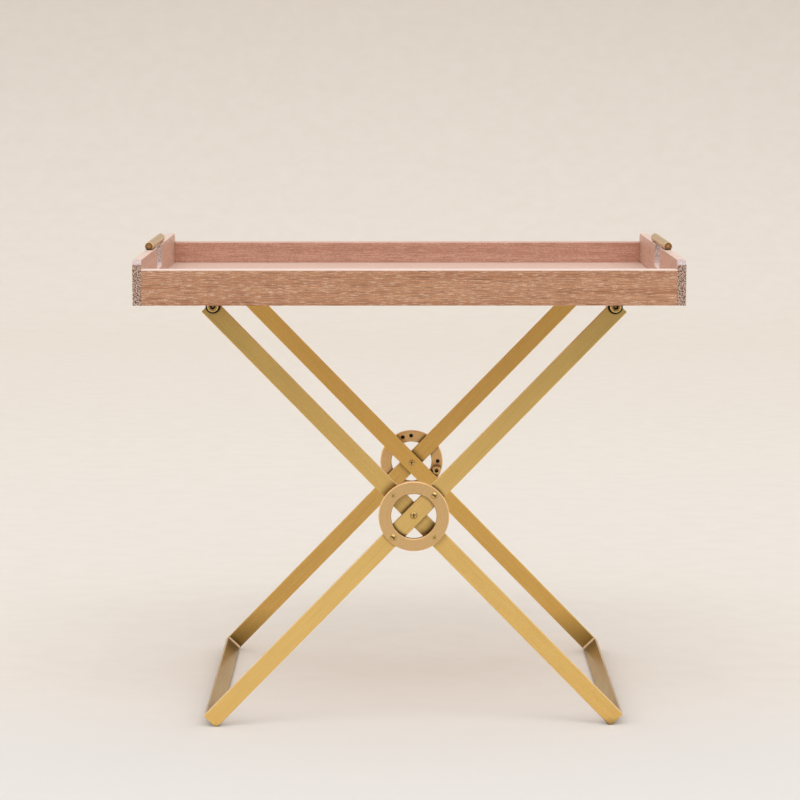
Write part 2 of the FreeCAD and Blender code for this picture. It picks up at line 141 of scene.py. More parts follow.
# %% [markdown]
# Every material here has a grain: wood has fibres, drawn bar has rub lines, turned brass has tool marks.
# An image would have to be wrapped round each piece. A noise that fills the solid needs no wrapping, and
# on a board's face it draws streaks where on its sawn end it draws dots, as in real wood.
# The first helper stretches space along the grain. Object coordinates are metres, so a streak 40 mm long
# and 1 mm wide needs a scale of 25 along the grain and 1000 across it. The second helper puts a noise
# into that space.

# %% A grain that fills the solid
FINE_SHARE = 0.55


def stretched(tree, place, run, length_mm, width_mm, shift):
    """Coordinates in which length_mm along the axis named run, and width_mm across it, are one step."""
    scale = [1 / (width_mm * MM)] * 3
    scale["XYZ".index(run)] = 1 / (length_mm * MM)
    return put(tree, "Mapping", {"Vector": place, "Scale": scale,
                                 "Location": (shift, shift, shift)})["Vector"]


def grain_pattern(tree, place, run, length_mm, width_mm, detail, shift):
    """Noise with blobs length_mm long along the axis named run, and width_mm wide across it."""
    steps = stretched(tree, place, run, length_mm, width_mm, shift)
    return put(tree, "TexNoise", {"Vector": steps, "Scale": 1.0, "Detail": detail,
                                  "Roughness": FINE_SHARE})["Fac"]


print("a 40 by 1 mm streak has scales", 1 / (40 * MM), 1 / (1 * MM))

# %% [markdown]
# Shade falls in slots, sockets, blind holes and narrow gaps, and here it is painted into the colour as
# painted shade. It could be painted by hand, piece by piece. Here the Ambient Occlusion node finds those
# places, because it measures how much open sky a point sees within a short reach.
# The last helper wires what all the finishes share: a colour, a dullness that follows a pattern, and a
# relief that catches the light.

# %% Painted shade in the recesses, and the wiring that all finishes share
SKY_SAMPLES = 12


def painted_shade_mask(tree, reach_mm, deep_share, open_share, most):
    """Painted shade mask: 0 on open faces, up to most inside slots, sockets and holes, by the share of open
    sky.
    """
    sky = put(tree, "AmbientOcclusion", {"Distance": reach_mm * MM}, samples=SKY_SAMPLES)["AO"]
    return put(tree, "MapRange", {"Value": sky, "From Min": deep_share, "From Max": open_share,
                                  "To Min": most, "To Max": 0.0})["Result"]


def wire_surface(tree, shader, colour, dullness, relief, strength, depth_mm):
    """Links a colour, a roughness and a relief of some depth to the main shader."""
    tree.links.new(colour, shader["Base Color"])
    tree.links.new(dullness, shader["Roughness"])
    bump = put(tree, "Bump", {"Height": relief, "Strength": strength, "Distance": depth_mm * MM})["Normal"]
    tree.links.new(bump, shader["Normal"])


print("each recess is judged by", SKY_SAMPLES, "looks at the sky")

# %% [markdown]
# Limed oak: planed oak rubbed with white lime wax, which stays in the open pores. On a board's face the
# eye sees a pinkish tan ground in slow bands along the board, fine dark pores, crisp pale dashes where the
# lime has caught, and dark flecks between them.
# Bands, lines, pores and flecks are noises. The dashes are the middles of Voronoi cells, about 9 mm long:
# a noise gives blobs that run into each other, and cells stay apart as the real dashes do.
# Real pores are about 0.3 mm wide and flecks finer still, too fine for the picture. So pores are drawn
# 0.5 mm wide, dashes about 0.6 mm and flecks 1.3 mm, which is near the width of a pixel.

# %% The planed face of limed oak
OAK_PORE = "8F5C3D"
OAK_FLECK = "7A4E36"


def planed_face(tree, place, run, ground, deep, lime, streaks):
    """The colour of a board's face, and the pores and flecks that also shape its relief."""
    bands = grain_pattern(tree, place, run, length_mm=500, width_mm=11, detail=2, shift=0.0)
    lines = grain_pattern(tree, place, run, length_mm=90, width_mm=0.6, detail=1, shift=9.3)
    pores = grain_pattern(tree, place, run, length_mm=40, width_mm=0.5, detail=0, shift=3.1)
    flecks = grain_pattern(tree, place, run, length_mm=2.0, width_mm=1.3, detail=1, shift=5.2)
    cells = stretched(tree, place, run, length_mm=16, width_mm=1.2, shift=7.7)
    dashes = put(tree, "TexVoronoi", {"Vector": cells, "Scale": 1.0})["Distance"]

    both = put(tree, "Math", {0: bands, 1: lines}, operation="ADD")["Value"]
    slow = put(tree, "Math", {0: both, 1: 0.5}, operation="MULTIPLY")["Value"]
    wood = put(tree, "ValToRGB", {"Fac": slow}, [(0.36, deep), (0.64, ground)])["Color"]
    dark = put(tree, "MapRange", {"Value": pores, "From Min": 0.56, "From Max": 0.63,
                                  "To Max": streaks})["Result"]
    wood = put(tree, "Mix", {SHARE: dark, UNDER: wood, OVER: linear(OAK_PORE)}, data_type="RGBA")[BLEND]
    pale = put(tree, "MapRange", {"Value": dashes, "From Min": 0.18, "From Max": 0.36, "To Min": streaks,
                                  "To Max": 0.0})["Result"]
    wood = put(tree, "Mix", {SHARE: pale, UNDER: wood, OVER: linear(lime)}, data_type="RGBA")[BLEND]
    spots = put(tree, "MapRange", {"Value": flecks, "From Min": 0.48, "From Max": 0.58,
                                   "To Max": 0.32})["Result"]
    wood = put(tree, "Mix", {SHARE: spots, UNDER: wood, OVER: linear(OAK_FLECK)}, data_type="RGBA")[BLEND]
    return wood, pores, flecks


print("pores in the oak are", OAK_PORE, "and the flecks", OAK_FLECK)

# %% [markdown]
# A sawn end shows the cut vessels of the wood as dark dots in a grey violet ground, because it drinks more
# wax than a face does. The finger notches, which no sanding block reaches, keep the most of it; their paler
# colour is also painted light, lifting the shade under the handles.
# They could be separate materials on separate faces. Here the shader tells them apart by itself: on a
# sawn end the normal points along the grain, and a notch lies near the middle of its board. Real vessels
# are about 0.3 mm wide, so the dots are drawn 1.7 mm wide to show.

# %% The sawn end of limed oak
ALONG = {"X": (1, 0, 0), "Y": (0, 1, 0)}
NOTCH_HALF = 40 * MM
WAXED_AND_LIT_NOTCH = "E3D5D6"
VESSEL_STEPS = [(0.43, "40281D"), (0.49, "AB8470"), (0.55, "E2C2B0")]


def sawn_end(tree, where, run):
    """The colour of a sawn end, and a mask that is 1 on sawn ends and 0 on faces."""
    vessels = grain_pattern(tree, where["Object"], run, length_mm=14, width_mm=1.7, detail=2, shift=1.9)
    dots = put(tree, "ValToRGB", {"Fac": vessels}, VESSEL_STEPS)["Color"]
    middle = put(tree, "VectorMath", {0: where["Object"], 1: ALONG[run]}, operation="DOT_PRODUCT")["Value"]
    middle = put(tree, "Math", {0: middle}, operation="ABSOLUTE")["Value"]
    # The notch faces are painted paler: more wax, and painted light that lifts the shade under the handle.
    notch_wax_and_light = put(tree, "MapRange", {"Value": middle, "From Min": NOTCH_HALF, "From Max": NOTCH_HALF + MM,
                                   "To Min": 0.5, "To Max": 0.0})["Result"]
    dots = put(tree, "Mix", {SHARE: notch_wax_and_light, UNDER: dots, OVER: linear(WAXED_AND_LIT_NOTCH)}, data_type="RGBA")[BLEND]
    facing = put(tree, "VectorMath", {0: where["Normal"], 1: ALONG[run]}, operation="DOT_PRODUCT")["Value"]
    facing = put(tree, "Math", {0: facing}, operation="ABSOLUTE")["Value"]
    sawn = put(tree, "MapRange", {"Value": facing, "From Min": 0.5, "From Max": 0.7})["Result"]
    return dots, sawn


print("a notch reaches", NOTCH_HALF / MM, "mm from the middle of its board")

# %% [markdown]
# The tray's boards: two long rails, two ends and a veneered floor, cut from different planks. One finish
# for all of them would look like printed film. So one function builds a finish for each kind of board,
# with colours of its own and the grain along the board.
# Faces that look up, tops and upward edges, are painted pale: partly lime wax, partly a painted highlight
# from the light above. Inner corners get painted shade.

# %% Limed oak for the tray's boards
LIME_AND_HIGHLIGHT_END = "EBD8DA"
LIME_AND_HIGHLIGHT_EDGE = "F8E0D4"
CORNER_SHADE = "6B4936"
OAK_IOR = 1.5


def limed_oak(name, run, ground, deep, lime, streaks, edge_lime_and_highlight, roughness):
    """Oak boards whose grain runs along one axis, from their ground, deep and lime colours."""
    finish, tree, shader = new_finish(name)
    where = put(tree, "TexCoord")
    face, pores, flecks = planed_face(tree, where["Object"], run, ground, deep, lime, streaks)
    end, sawn = sawn_end(tree, where, run)
    # Faces that look up are painted pale: part lime wax, part a painted highlight from the light above.
    top_highlight = put(tree, "SeparateXYZ", {"Vector": where["Normal"]})["Z"]
    top_highlight = put(tree, "MapRange", {"Value": top_highlight, "From Min": 0.05, "From Max": 0.35,
                                    "To Max": edge_lime_and_highlight})["Result"]
    end = put(tree, "Mix", {SHARE: top_highlight, UNDER: end, OVER: linear(LIME_AND_HIGHLIGHT_END)}, data_type="RGBA")[BLEND]
    face = put(tree, "Mix", {SHARE: top_highlight, UNDER: face, OVER: linear(LIME_AND_HIGHLIGHT_EDGE)}, data_type="RGBA")[BLEND]
    wood = put(tree, "Mix", {SHARE: sawn, UNDER: face, OVER: end}, data_type="RGBA")[BLEND]
    # Painted shade in inner corners and along joints, where a point sees little open sky.
    corner_shade = painted_shade_mask(tree, reach_mm=4, deep_share=0.2, open_share=0.7, most=0.5)
    wood = put(tree, "Mix", {SHARE: corner_shade, UNDER: wood, OVER: linear(CORNER_SHADE)}, data_type="RGBA")[BLEND]
    dullness = put(tree, "MapRange", {"Value": flecks, "To Min": roughness - 0.08,
                                      "To Max": roughness + 0.08})["Result"]
    relief = put(tree, "Math", {0: pores, 1: flecks}, operation="ADD")["Value"]
    wire_surface(tree, shader, wood, dullness, relief, strength=0.16, depth_mm=0.4)
    shader["IOR"].default_value = OAK_IOR
    return finish


dress(limed_oak("limed_oak_planed_front_rail", run="X", ground="E3AC86", deep="C48661", lime="FFDFC2",
                streaks=0.75, edge_lime_and_highlight=0.95, roughness=0.42), "tray_front_rail")
dress(limed_oak("limed_oak_planed_back_rail", run="X", ground="E2B29C", deep="C8927C", lime="E9C4B1",
                streaks=0.5, edge_lime_and_highlight=0.35, roughness=0.42), "tray_back_rail")
dress(limed_oak("limed_oak_planed_end", run="Y", ground="DEB49E", deep="CFA28C", lime="F2D8CC",
                streaks=0.5, edge_lime_and_highlight=0.65, roughness=0.42), "left_end", "right_end")
dress(limed_oak("limed_oak_veneer_satin", run="X", ground="EDC5AF", deep="DAAB90", lime="F6DECF",
                streaks=0.55, edge_lime_and_highlight=0.5, roughness=0.36), "tray_floor")

# %% [markdown]
# The stand is flat bar, brazed at the feet. The inside of each brazed corner gets painted shade, a dark
# brown, and edges that face up and out get a painted highlight, a paler brass. Both could be painted on by
# hand. Here they are found by place and direction: the painted shade lies low, near a leg, on faces that
# look towards the table's middle, and a highlit edge looks up and away from it.

# %% Painted highlights and corner shade on the stand
TURNING = 0.05
EDGE_HIGHLIGHT = 0.7
HIGHLIGHT_BRASS = "D2B79C"
BRAZE_SHADE = 0.72
SHADED_BRASS = "3A2810"
SHADE_LOW = 12 * MM
SHADE_HIGH = 66 * MM
SHADE_START = 130 * MM
SHADE_END = 238 * MM


def edge_highlight_and_corner_shade(tree, where, tone):
    """Brass of some tone with a painted highlight on its outer edges and painted brown shade inside the
    brazed corners.
    """
    across = put(tree, "VectorMath", {0: where["Object"], 1: (1, 1, 0)}, operation="MULTIPLY")["Vector"]
    outward = put(tree, "VectorMath", {0: across, 1: where["Normal"]}, operation="DOT_PRODUCT")["Value"]
    outer = put(tree, "MapRange", {"Value": outward, "From Min": -TURNING, "From Max": TURNING})["Result"]
    # Edges that look up and out get a painted highlight: a paler brass.
    top_highlight = put(tree, "SeparateXYZ", {"Vector": where["Normal"]})["Z"]
    highlit = put(tree, "MapRange", {"Value": top_highlight, "From Min": 0.3, "From Max": 0.6,
                                  "To Max": EDGE_HIGHLIGHT})["Result"]
    highlit = put(tree, "Math", {0: highlit, 1: outer}, operation="MULTIPLY")["Value"]
    tone = put(tree, "Mix", {SHARE: highlit, UNDER: tone, OVER: linear(HIGHLIGHT_BRASS)}, data_type="RGBA")[BLEND]

    # Painted shade inside the brazed corners: dark brown, low, near a leg, on faces that look inwards.
    spot = put(tree, "SeparateXYZ", {"Vector": where["Object"]})
    low = put(tree, "MapRange", {"Value": spot["Z"], "From Min": SHADE_LOW, "From Max": SHADE_HIGH,
                                 "To Min": 1.0, "To Max": 0.0})["Result"]
    from_middle = put(tree, "Math", {0: spot["Y"]}, operation="ABSOLUTE")["Value"]
    near_leg = put(tree, "MapRange", {"Value": from_middle, "From Min": SHADE_START,
                                      "From Max": SHADE_END})["Result"]
    inside = put(tree, "MapRange", {"Value": outer, "To Min": BRAZE_SHADE, "To Max": 0.0})["Result"]
    corner_shaded = put(tree, "Math", {0: low, 1: near_leg}, operation="MULTIPLY")["Value"]
    corner_shaded = put(tree, "Math", {0: corner_shaded, 1: inside}, operation="MULTIPLY")["Value"]
    return put(tree, "Mix", {SHARE: corner_shaded, UNDER: tone, OVER: linear(SHADED_BRASS)},
               data_type="RGBA")[BLEND]


print("painted_corner_shades reach", SHADE_HIGH / MM, "mm up a leg")

# %% [markdown]
# Satin brass flat bar: drawn bar, rubbed along its length with a fine abrasive and lacquered.
# The eye sees yellow metal with a soft sheen, faint lines and specks along the bar, and slow changes in
# dullness. A metal's colour is the colour of its reflection, so it is set on a fully metallic shader, and
# a thin coat stands for the lacquer. An anisotropic shader could stretch the sheen too, but drawn lines
# also show up close. They follow the bar, which leans 45.9 degrees, so a Mapping node turns them with it.
# Real scratches are a few hundredths of a millimetre wide; here they are drawn 0.8 mm wide to show.
# Each leg has a tone and a reach of painted shade of its own: the back legs are painted a little darker, as
# painted shade under the tray, and a leg that lies behind another gets painted shade over a wider reach.

# %% Satin brass for bars, rods and rails
LEG_ANGLE = 45.9
OUTER_LEAN = LEG_ANGLE - 90
INNER_LEAN = 90 - LEG_ANGLE
LACQUER = 0.25
LACQUER_ROUGHNESS = 0.2
BAR_SHADE = "2B1B0D"


def lacquered_metal(shader):
    """Makes the main shader a metal under a thin coat of lacquer."""
    shader["Metallic"].default_value = 1.0
    shader["Coat Weight"].default_value = LACQUER
    shader["Coat Roughness"].default_value = LACQUER_ROUGHNESS


def satin_brass(name, lean, run, bright, dull, roughness, shade_reach_mm):
    """Brass rubbed along one axis of a frame that leans about Y by lean degrees."""
    finish, tree, shader = new_finish(name)
    where = put(tree, "TexCoord")
    turned = put(tree, "Mapping", {"Vector": where["Object"], "Rotation": (0, radians(lean), 0)})["Vector"]
    lines = grain_pattern(tree, turned, run, length_mm=55, width_mm=0.8, detail=2, shift=0.0)
    clouds = grain_pattern(tree, turned, run, length_mm=90, width_mm=30, detail=3, shift=2.3)
    specks = grain_pattern(tree, turned, run, length_mm=1.8, width_mm=1.2, detail=2, shift=4.1)
    rubbed = put(tree, "Math", {0: lines, 1: specks}, operation="ADD")["Value"]
    half = put(tree, "Math", {0: rubbed, 1: 0.5}, operation="MULTIPLY")["Value"]
    tone = put(tree, "ValToRGB", {"Fac": half}, [(0.38, dull), (0.62, bright)])["Color"]
    tone = edge_highlight_and_corner_shade(tree, where, tone)
    # Painted shade in recesses and on a leg that lies behind another, over the reach given for each bar.
    painted_recess_shade = painted_shade_mask(tree, shade_reach_mm, deep_share=0.3, open_share=0.92, most=0.95)
    tone = put(tree, "Mix", {SHARE: painted_recess_shade, UNDER: tone, OVER: linear(BAR_SHADE)}, data_type="RGBA")[BLEND]
    dullness = put(tree, "MapRange", {"Value": clouds, "From Min": 0.3, "From Max": 0.7,
                                      "To Min": roughness - 0.04, "To Max": roughness + 0.05})["Result"]
    wire_surface(tree, shader, tone, dullness, rubbed, strength=0.08, depth_mm=0.1)
    lacquered_metal(shader)
    return finish


dress(satin_brass("satin_brass_bar_outer_front", OUTER_LEAN, run="Z", bright="FAD284", dull="EEC36F",
                  roughness=0.33, shade_reach_mm=6), "outer_front_leg")
dress(satin_brass("satin_brass_bar_inner_front", INNER_LEAN, run="Z", bright="F8CF80", dull="EBBF6B",
                  roughness=0.33, shade_reach_mm=16), "inner_front_leg")
# The back legs are painted a little darker: painted shade under the tray.
dress(satin_brass("satin_brass_bar_outer_back", OUTER_LEAN, run="Z", bright="EEC575", dull="E1B562",
                  roughness=0.5, shade_reach_mm=14), "outer_back_leg")
dress(satin_brass("satin_brass_bar_inner_back", INNER_LEAN, run="Z", bright="F4CB78", dull="E8BC64",
                  roughness=0.52, shade_reach_mm=6), "inner_back_leg")
dress(satin_brass("satin_brass_rail_and_rod", lean=0, run="Y", bright="C6AA74", dull="B89963",
                  roughness=0.42, shade_reach_mm=8), "outer_foot_rail", "inner_foot_rail", "outer_top_rod",
      "inner_top_rod")

# %% [markdown]
# Turned brass: rings and handle bars come off a lathe, so their tool marks run round the axis.
# A noise sampled by distance from that axis gives such marks. The Mapping node first moves the axis to
# the pattern's centre: the pivot for the rings, and the bar's own axis for each handle.
# The eye sees a warmer, duller metal than the bar, faint marks under fine specks, and a dark bore, which is
# painted shade. On the handles the end faces are painted darker towards their rims, a painted reflection of
# the studio's dark front. Real tool marks are a tenth of a millimetre apart; here they are drawn 1.4 mm
# apart to show.

# %% Turned brass for rings and handles
LATHE_MARK = 1.4 * MM
HANDLE_RADIUS = 6 * MM
END_REFLECTION_STEPS = [(0.1, "F0C48C"), (0.5, "C08C54"), (0.9, "5C3B1E")]
BORE_FADE_MM = 0.25
BORE_SHADE = "5C3B1E"
RING_SHADE = "1E1108"
MARK_SHARE = 0.2
NUMBER_UNDER = 2
NUMBER_OVER = 3
NUMBER_BLEND = 0


def turned_brass(name, node, bright, dull, roughness, bore_mm, strength, end_reflection):
    """Brass with lathe marks round an axis along Y through the middle of a node."""
    finish, tree, shader = new_finish(name)
    where = put(tree, "TexCoord")
    low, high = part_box(node)
    to_axis = [-(a + b) / 2 for a, b in zip(low, high)]
    local = put(tree, "Mapping", {"Vector": where["Object"], "Location": to_axis})["Vector"]
    flat = put(tree, "VectorMath", {0: local, 1: (1, 0, 1)}, operation="MULTIPLY")["Vector"]
    radius = put(tree, "VectorMath", {0: flat}, operation="LENGTH")["Value"]
    marks = put(tree, "TexNoise", {"W": radius, "Scale": 1 / LATHE_MARK, "Detail": 2.0},
                noise_dimensions="1D")["Fac"]
    specks = grain_pattern(tree, where["Object"], "Y", length_mm=1.2, width_mm=1.2, detail=3, shift=1.7)
    mixed = put(tree, "Mix", {SHARE: MARK_SHARE, NUMBER_UNDER: specks, NUMBER_OVER: marks})[NUMBER_BLEND]
    tone = put(tree, "ValToRGB", {"Fac": mixed}, [(0.38, dull), (0.62, bright)])["Color"]

    # End faces are painted darker towards their rims: a painted reflection of the studio's dark front.
    facing = put(tree, "SeparateXYZ", {"Vector": where["Normal"]})["Y"]
    facing = put(tree, "Math", {0: facing}, operation="ABSOLUTE")["Value"]
    faced = put(tree, "MapRange", {"Value": facing, "From Min": 0.85, "From Max": 0.95,
                                   "To Max": end_reflection})["Result"]
    to_rim = put(tree, "Math", {0: radius, 1: HANDLE_RADIUS}, operation="DIVIDE")["Value"]
    painted_end_reflection = put(tree, "ValToRGB", {"Fac": to_rim}, END_REFLECTION_STEPS)["Color"]
    tone = put(tree, "Mix", {SHARE: faced, UNDER: tone, OVER: painted_end_reflection}, data_type="RGBA")[BLEND]
    # Painted shade on the bore: the colour darkens within bore_mm of the axis.
    bore_shade = put(tree, "MapRange", {"Value": radius, "From Min": bore_mm * MM,
                                  "From Max": (bore_mm + BORE_FADE_MM) * MM, "To Min": 0.85,
                                  "To Max": 0.0})["Result"]
    tone = put(tree, "Mix", {SHARE: bore_shade, UNDER: tone, OVER: linear(BORE_SHADE)}, data_type="RGBA")[BLEND]
    # Painted shade where a point sees little sky: in sockets, and against the legs.
    painted_recess_shade = painted_shade_mask(tree, reach_mm=10, deep_share=0.4, open_share=0.88, most=0.97)
    tone = put(tree, "Mix", {SHARE: painted_recess_shade, UNDER: tone, OVER: linear(RING_SHADE)}, data_type="RGBA")[BLEND]
    dullness = put(tree, "MapRange", {"Value": specks, "From Min": 0.3, "From Max": 0.7,
                                      "To Min": roughness - 0.04, "To Max": roughness + 0.05})["Result"]
    wire_surface(tree, shader, tone, dullness, mixed, strength, depth_mm=0.3)
    lacquered_metal(shader)
    return finish


dress(turned_brass("satin_brass_ring_turned", "front_ring", bright="F4CD91", dull="E3B77D", roughness=0.45,
                   bore_mm=31.6, strength=0.06, end_reflection=0.0), "front_ring", "back_ring")
for side in ("left", "right"):
    dress(turned_brass(f"satin_brass_{side}_handle_turned", f"{side}_handle", bright="DFBF8B", dull="CEAB76",
                       roughness=0.36, bore_mm=0.0, strength=0.2, end_reflection=0.75), f"{side}_handle")

# %% [markdown]
# Small pieces: screws and pivots are brass too, brighter because driving and handling polish them, and the
# beads of the brazed corners are filed and painted near white, a painted highlight. The washers are black
# oxide steel, the hidden studs and wood screws zinc plated, the glides and pivot washers nylon, and the
# dowels and chocks plain beech. They are too small for a finish with many layers, so one function gives each
# a fine grain in colour, dullness and relief, as its making leaves it, and painted shade in its recesses.
# Grains finer than about 1 mm wouldn't show, so they are drawn about that wide.

# %% Finishes for fasteners and hidden pieces
SMALL_SHADE = "120B06"


def small_finish(name, light, dark, width_mm, length_mm, run, roughness, metallic, recess_shade):
    """A finish with one fine grain in its colour, roughness and relief."""
    finish, tree, shader = new_finish(name)
    place = put(tree, "TexCoord")["Object"]
    fine = grain_pattern(tree, place, run, length_mm, width_mm, detail=3, shift=0.4)
    tone = put(tree, "ValToRGB", {"Fac": fine}, [(0.35, dark), (0.65, light)])["Color"]
    # Painted shade in slots, sockets and holes, up to the share given for each finish.
    painted_recess_shade = painted_shade_mask(tree, reach_mm=4, deep_share=0.58, open_share=0.86, most=recess_shade)
    tone = put(tree, "Mix", {SHARE: painted_recess_shade, UNDER: tone, OVER: linear(SMALL_SHADE)}, data_type="RGBA")[BLEND]
    dullness = put(tree, "MapRange", {"Value": fine, "From Min": 0.3, "From Max": 0.7,
                                      "To Min": roughness - 0.05, "To Max": roughness + 0.06})["Result"]
    wire_surface(tree, shader, tone, dullness, fine, strength=0.08, depth_mm=0.1)
    shader["Metallic"].default_value = metallic
    return finish


dress(small_finish("polished_brass_screw", "DDBA78", "CEA866", width_mm=1.5, length_mm=1.5, run="Y",
                   roughness=0.26, metallic=1.0, recess_shade=0.97),
      "outer_rod_screws", "inner_rod_screws", "front_ring_screws", "back_ring_screws", "front_pivot_post",
      "back_pivot_post", "front_pivot_screw", "back_pivot_screw")
dress(small_finish("filed_brass_screw", "EDCA84", "DDB76E", width_mm=1.2, length_mm=3.0, run="X",
                   roughness=0.42, metallic=1.0, recess_shade=0.35), "front_flush_screws", "back_flush_screws")
# The beads are painted near white: filed brass with a painted highlight.
dress(small_finish("filed_braze_bead_painted_highlight", "FBE3C0", "EFCFA4", width_mm=1.0, length_mm=4.0, run="Z",
                   roughness=0.5, metallic=1.0, recess_shade=0.1), "outer_brazed_corners", "inner_brazed_corners")
dress(small_finish("turned_brass_stud", "E3BE86", "D2A972", width_mm=1.2, length_mm=1.2, run="Y",
                   roughness=0.4, metallic=1.0, recess_shade=0.97), "front_stop_stud", "back_stop_stud")
dress(small_finish("black_oxide_steel", "17130F", "0A0908", width_mm=0.7, length_mm=0.7, run="Y",
                   roughness=0.5, metallic=0.6, recess_shade=0.9), "outer_rod_washers", "inner_rod_washers")
dress(small_finish("zinc_plated_steel", "BFC2C4", "9A9DA0", width_mm=0.9, length_mm=0.9, run="Z",
                   roughness=0.35, metallic=1.0, recess_shade=0.8),
      "left_handle_studs", "right_handle_studs", "chock_screws")
dress(small_finish("moulded_nylon", "E9E4D6", "DDD6C5", width_mm=1.2, length_mm=1.2, run="Y",
                   roughness=0.5, metallic=0.0, recess_shade=0.4), "front_glides", "back_glides", "pivot_washers")
dress(small_finish("planed_beech_strip", "DDB98A", "C79E6C", width_mm=1.5, length_mm=30, run="Y",
                   roughness=0.6, metallic=0.0, recess_shade=0.5), "left_chock", "right_chock")
dress(small_finish("beech_dowel", "DDB98A", "C79E6C", width_mm=1.5, length_mm=30, run="X",
                   roughness=0.6, metallic=0.0, recess_shade=0.5), "corner_dowels")

# %% [markdown]
# Rubber strips: under the tray floor, each rod of the stand bears on a strip of ribbed rubber, so that the
# metal doesn't knock or slip on the wood. The frame holds each strip as a plain block.
# Here it gets its ribs: a cube is scaled to the block, its lower face is cut into lanes along its length,
# and every second lane is pushed up to leave a groove. A small bevel rounds the edges, as moulding does.
# Pushing the grooves in, and not the ribs out, keeps the strip inside its block.

# %% Ribbed rubber strips
RIB_LANES = 9
GROOVE_DEPTH = 0.7 * MM
GROOVE_MARGIN = 0.3 * MM
RIB_ROUNDING = 0.25 * MM
SMOOTH_UNDER = 40
CLOSE = 0.1 * MM
FACES_DOWN = -0.9
rubber = small_finish("moulded_strip_rubber", "40362E", "2C251F", width_mm=0.8, length_mm=0.8, run="Y",
                      roughness=0.8, metallic=0.0, recess_shade=0.5)


def ribbed_strip(node):
    """A rubber strip in the place of a plain block, with grooves along its lower face."""
    low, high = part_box(node)
    bpy.ops.object.select_all(action="DESELECT")
    bpy.ops.mesh.primitive_cube_add(size=1, location=[(a + b) / 2 for a, b in zip(low, high)],
                                    scale=[b - a for a, b in zip(low, high)])
    strip = bpy.context.object
    strip.name = node.replace("pad", "strip")
    bpy.ops.object.transform_apply(location=True, rotation=True, scale=True)
    bpy.ops.object.mode_set(mode="EDIT")
    bpy.ops.mesh.select_mode(type="EDGE")
    bpy.ops.mesh.select_all(action="DESELECT")
    bpy.ops.object.mode_set(mode="OBJECT")
    for edge in strip.data.edges:
        first, second = [strip.data.vertices[index].co for index in edge.vertices]
        edge.select = max(first.z, second.z) < low[2] + CLOSE and abs(first.y - second.y) < CLOSE
    bpy.ops.object.mode_set(mode="EDIT")
    bpy.ops.mesh.subdivide(number_cuts=RIB_LANES - 1)
    bpy.ops.mesh.select_mode(type="FACE")
    bpy.ops.mesh.select_all(action="DESELECT")
    bpy.ops.object.mode_set(mode="OBJECT")
    lane = (high[0] - low[0]) / RIB_LANES
    for face in strip.data.polygons:
        number = int((face.center.x - low[0]) / lane)
        face.select = face.normal.z < FACES_DOWN and number % 2 == 1
    grooves = sum(face.select for face in strip.data.polygons)
    bpy.ops.object.mode_set(mode="EDIT")
    bpy.ops.mesh.inset(thickness=GROOVE_MARGIN, depth=0, use_individual=True)
    bpy.ops.mesh.extrude_region_move(TRANSFORM_OT_translate={"value": (0, 0, GROOVE_DEPTH)})
    bpy.ops.mesh.select_all(action="SELECT")
    bpy.ops.mesh.normals_make_consistent(inside=False)
    bpy.ops.object.mode_set(mode="OBJECT")
    rounding = strip.modifiers.new("moulded_edges", "BEVEL")
    rounding.width = RIB_ROUNDING
    rounding.segments = 2
    bpy.ops.object.modifier_apply(modifier=rounding.name)
    bpy.ops.object.shade_smooth_by_angle(angle=radians(SMOOTH_UNDER))
    strip.data.materials.append(rubber)
    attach(strip, "tray")
    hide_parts(node)
    print(strip.name, "has", grooves, "grooves and", len(strip.data.polygons), "faces")


for side in ("left", "right"):
    ribbed_strip(f"{side}_rod_pad")

# %% [markdown]
# The studio is one sheet of pale paper that runs along the floor and curves up behind the table, so that
# no line shows where floor turns into wall. A floor and a wall of two planes would show that line.
# The sheet starts as a plane, and its far edge is extruded step by step along a quarter circle and then
# straight up. The wall stands far enough back for a camera that walks round the table.

# %% The paper sweep
FLOOR_HALF_WIDTH = 6.0
FLOOR_FRONT = -12.0
FLOOR_BACK = 4.4
SWEEP_RADIUS = 1.25
SWEEP_STEPS = 16
WALL_HEIGHT = 5.0

bpy.ops.object.select_all(action="DESELECT")
bpy.ops.mesh.primitive_plane_add(size=1, location=(0, 0, 0))
paper = bpy.context.object
paper.name = "paper_sweep"
paper.scale = (2 * FLOOR_HALF_WIDTH, FLOOR_BACK - FLOOR_FRONT, 1)
paper.location = (0, (FLOOR_BACK + FLOOR_FRONT) / 2, 0)
bpy.ops.object.transform_apply(location=True, rotation=True, scale=True)
bpy.ops.object.mode_set(mode="EDIT")
bpy.ops.mesh.select_mode(type="EDGE")
bpy.ops.mesh.select_all(action="DESELECT")
bpy.ops.object.mode_set(mode="OBJECT")
for edge in paper.data.edges:
    ends = [paper.data.vertices[index].co.y for index in edge.vertices]
    edge.select = min(ends) > FLOOR_BACK - CLOSE
bpy.ops.object.mode_set(mode="EDIT")
turn = pi / 2 / SWEEP_STEPS
for step in range(SWEEP_STEPS):
    before = step * turn
    after = before + turn
    move = (0, SWEEP_RADIUS * (sin(after) - sin(before)), SWEEP_RADIUS * (cos(before) - cos(after)))
    bpy.ops.mesh.extrude_region_move(TRANSFORM_OT_translate={"value": move})
bpy.ops.mesh.extrude_region_move(TRANSFORM_OT_translate={"value": (0, 0, WALL_HEIGHT)})
bpy.ops.mesh.select_all(action="SELECT")
bpy.ops.mesh.normals_make_consistent(inside=False)
bpy.ops.object.mode_set(mode="OBJECT")
bpy.ops.object.shade_smooth()
print("paper sweep faces:", len(paper.data.polygons))

# %% [markdown]
# Backdrop paper is matt and has a very slight mottle. Behind the table it is a warm white, and in front a
# little cooler. Near the camera and behind it, the paper is painted grey and then dark: painted shade, as a
# studio's floor is outside its lit sheet. The brass mirrors that, so it helps to shade the legs. Separate
# sheets would show their edges; here one finish changes its colour by place.

